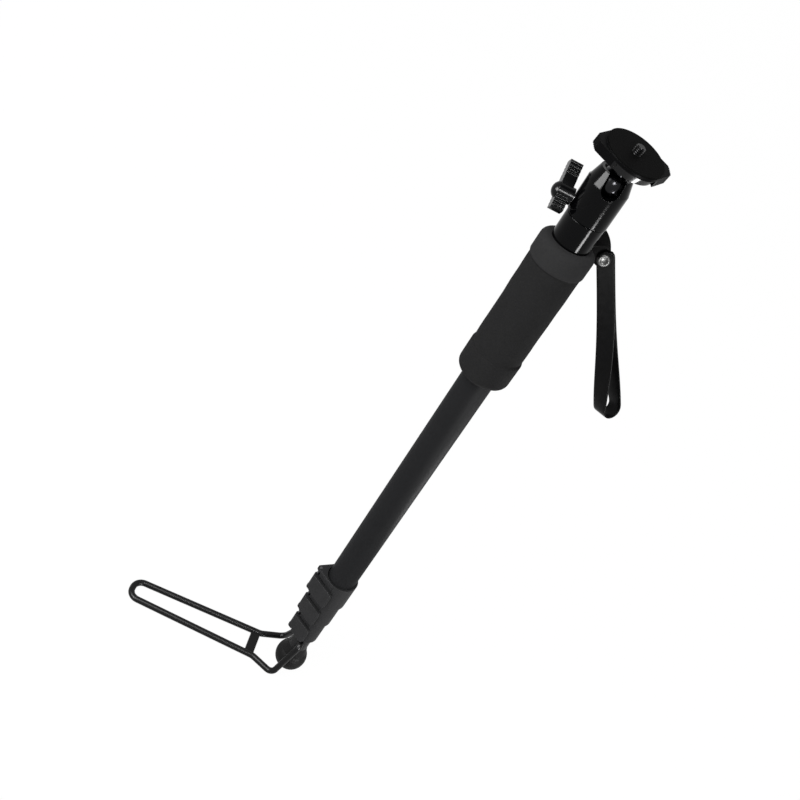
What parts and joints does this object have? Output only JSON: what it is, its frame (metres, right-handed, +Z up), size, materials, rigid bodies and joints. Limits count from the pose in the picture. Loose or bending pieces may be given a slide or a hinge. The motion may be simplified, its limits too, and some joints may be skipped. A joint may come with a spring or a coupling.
{
  "type": "camera monopod",
  "caption": "Folding camera monopod with telescoping flip-lock tubes, foam grip, wrist strap, wire foot stirrup and a small ball head that drops into a side slot.",
  "frame": {"origin": "centre of the rubber foot's sole, on the pole's axis, where the pole stands on the ground", "axes": "+Z up along the pole; the wire stirrup lies along -X; the ball head's slot faces -Y, turned slightly to +X"},
  "size_m": [0.2626, 0.0481, 0.5795],
  "materials": {
    "tube": "matte charcoal anodised tube",
    "lock_plastic": "moulded dark grey, fine texture",
    "black_plastic": "moulded black",
    "rubber": "matte black rubber",
    "coated_wire": "black dip coating on steel wire",
    "foam": "closed-cell foam, fine pores",
    "gloss_black": "gloss black paint on cast alloy",
    "knob_plastic": "semi-gloss black",
    "ball": "polished black anodised",
    "seat_plastic": "grey bearing plastic",
    "bright_screw": "bright threaded steel",
    "steel": "plain steel",
    "gunmetal": "gunmetal snap rivet",
    "strap": "black leatherette"
  },
  "bodies": {
    "foot": {"lower_tube": "tube", "lower_guide_bush": "black_plastic", "foot_hub": "black_plastic", "rubber_foot": "rubber"},
    "stirrup": {"stirrup_wire": "coated_wire", "stirrup_crossbar": "coated_wire"},
    "section_3": {"third_tube": "tube", "third_guide_bush": "black_plastic", "lower_lock_collar": "lock_plastic", "lower_lock_pin": "steel", "lower_lock_bolt": "steel", "lower_lock_nut": "steel"},
    "lower_lever": {"lower_lock_lever": "lock_plastic"},
    "section_2": {"second_tube": "tube", "second_guide_bush": "black_plastic", "middle_lock_collar": "lock_plastic", "middle_lock_pin": "steel", "middle_lock_bolt": "steel", "middle_lock_nut": "steel"},
    "middle_lever": {"middle_lock_lever": "lock_plastic"},
    "section_1": {"upper_tube": "tube", "upper_lock_collar": "lock_plastic", "upper_lock_pin": "steel", "upper_lock_bolt": "steel", "upper_lock_nut": "steel", "foam_grip": "foam", "neck": "gloss_black", "head_screw": "steel", "ball_housing": "gloss_black", "strap_screw": "steel", "strap_washer": "steel"},
    "upper_lever": {"upper_lock_lever": "lock_plastic"},
    "seat": {"ball_seat": "seat_plastic"},
    "ball": {"ball_stem": "ball", "camera_screw": "bright_screw"},
    "platform": {"camera_platform": "gloss_black", "platform_pad": "rubber"},
    "knob": {"wing_knob": "knob_plastic", "knob_stud": "steel", "knob_cap": "knob_plastic"},
    "tab": {"strap_tab": "strap"},
    "loop": {"wrist_strap": "strap", "strap_rivet": "gunmetal"}
  },
  "joints": [
    {"name": "stirrup_fold", "type": "hinge", "parent": "foot", "child": "stirrup", "pos_m": [0, 0, 0.0424], "axis": [0, 1, 0], "range_deg": [0, 97]},
    {"name": "lower_slide", "type": "slide", "parent": "foot", "child": "section_3", "axis": [0, 0, 1], "range_m": [0, 0.36]},
    {"name": "middle_slide", "type": "slide", "parent": "section_3", "child": "section_2", "axis": [0, 0, 1], "range_m": [0, 0.345]},
    {"name": "upper_slide", "type": "slide", "parent": "section_2", "child": "section_1", "axis": [0, 0, 1], "range_m": [0, 0.33]},
    {"name": "upper_lever_open", "type": "hinge", "parent": "section_1", "child": "upper_lever", "pos_m": [-0.0203, 0, 0.1196], "axis": [0, 0, -1], "range_deg": [0, 95]},
    {"name": "middle_lever_open", "type": "hinge", "parent": "section_2", "child": "middle_lever", "pos_m": [-0.0174, 0, 0.0913], "axis": [0, 0, -1], "range_deg": [0, 95]},
    {"name": "lower_lever_open", "type": "hinge", "parent": "section_3", "child": "lower_lever", "pos_m": [-0.0151, 0, 0.063], "axis": [0, 0, -1], "range_deg": [0, 95]},
    {"name": "knob_turn", "type": "hinge", "parent": "section_1", "child": "knob", "pos_m": [0, 0, 0.5297], "axis": [-0.9994, -0.0349, 0], "range_deg": [0, 180]},
    {"name": "seat_lift", "type": "slide", "parent": "section_1", "child": "seat", "axis": [0, 0, 1], "range_m": [-0.0005, 0]},
    {"name": "head_tilt", "type": "hinge", "parent": "section_1", "child": "ball", "pos_m": [0, 0, 0.5491], "axis": [0.997, 0.0348, -0.0698], "range_deg": [-30, 81]},
    {"name": "platform_turn", "type": "hinge", "parent": "ball", "child": "platform", "pos_m": [0, 0, 0.5491], "axis": [0.0743, -0.1539, 0.9853], "continuous": true},
    {"name": "tab_swing", "type": "hinge", "parent": "section_1", "child": "tab", "pos_m": [0, 0.0163, 0.5186], "axis": [0, -1, 0], "range_deg": [0, 60]},
    {"name": "loop_swing", "type": "hinge", "parent": "tab", "child": "loop", "pos_m": [0.0285, 0.0163, 0.4961], "axis": [0, -1, 0], "range_deg": [-33, 60]}
  ]
}
